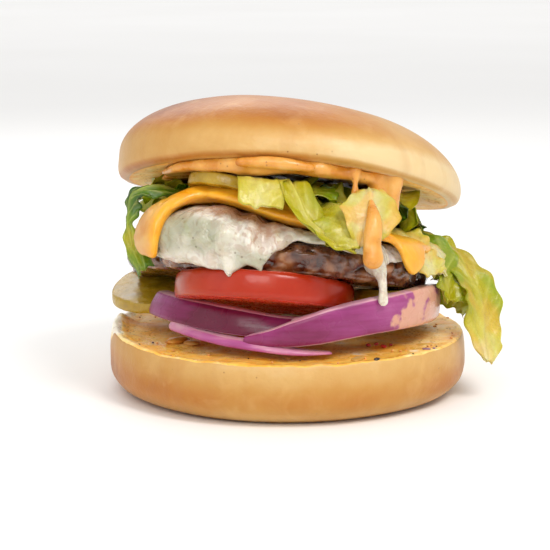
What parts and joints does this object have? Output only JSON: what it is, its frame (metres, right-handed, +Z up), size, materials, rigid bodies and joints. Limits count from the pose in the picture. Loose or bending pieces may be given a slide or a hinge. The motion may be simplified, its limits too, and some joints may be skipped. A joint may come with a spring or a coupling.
{
  "type": "hamburger",
  "caption": "Hamburger on a cut bun with onion rings, tomato, pickles, beef patty, white and yellow melted cheese, lettuce and sauce, its upper half leaning back.",
  "frame": {"origin": "middle of the lower bun's base, on the surface it stands on", "axes": "+Z up through the bun, -Y towards the front where the fillings show, +X to the front's right"},
  "size_m": [0.1265, 0.122, 0.0959],
  "materials": {
    "crust": "baked bread crust, satin",
    "onion": "wet raw red onion",
    "tomato": "wet raw tomato",
    "pickle": "wet pickled cucumber",
    "beef": "seared minced beef, greasy",
    "white_cheese": "melted white cheese",
    "yellow_cheese": "melted yellow cheese",
    "burger_sauce": "glossy thick sauce",
    "lettuce": "fresh leaf, satin"
  },
  "bodies": {
    "root": {"bun_heel": "crust", "bun_crown": "crust", "onion_ring_lower": "onion", "onion_ring_right": "onion", "onion_ring_inner": "onion", "onion_ring_left": "onion", "tomato_slice": "tomato", "pickle_left": "pickle", "pickle_middle": "pickle", "pickle_top": "pickle", "patty": "beef", "cheese_white": "white_cheese", "cheese_yellow": "yellow_cheese", "sauce": "burger_sauce", "lettuce": "lettuce"}
  },
  "joints": []
}
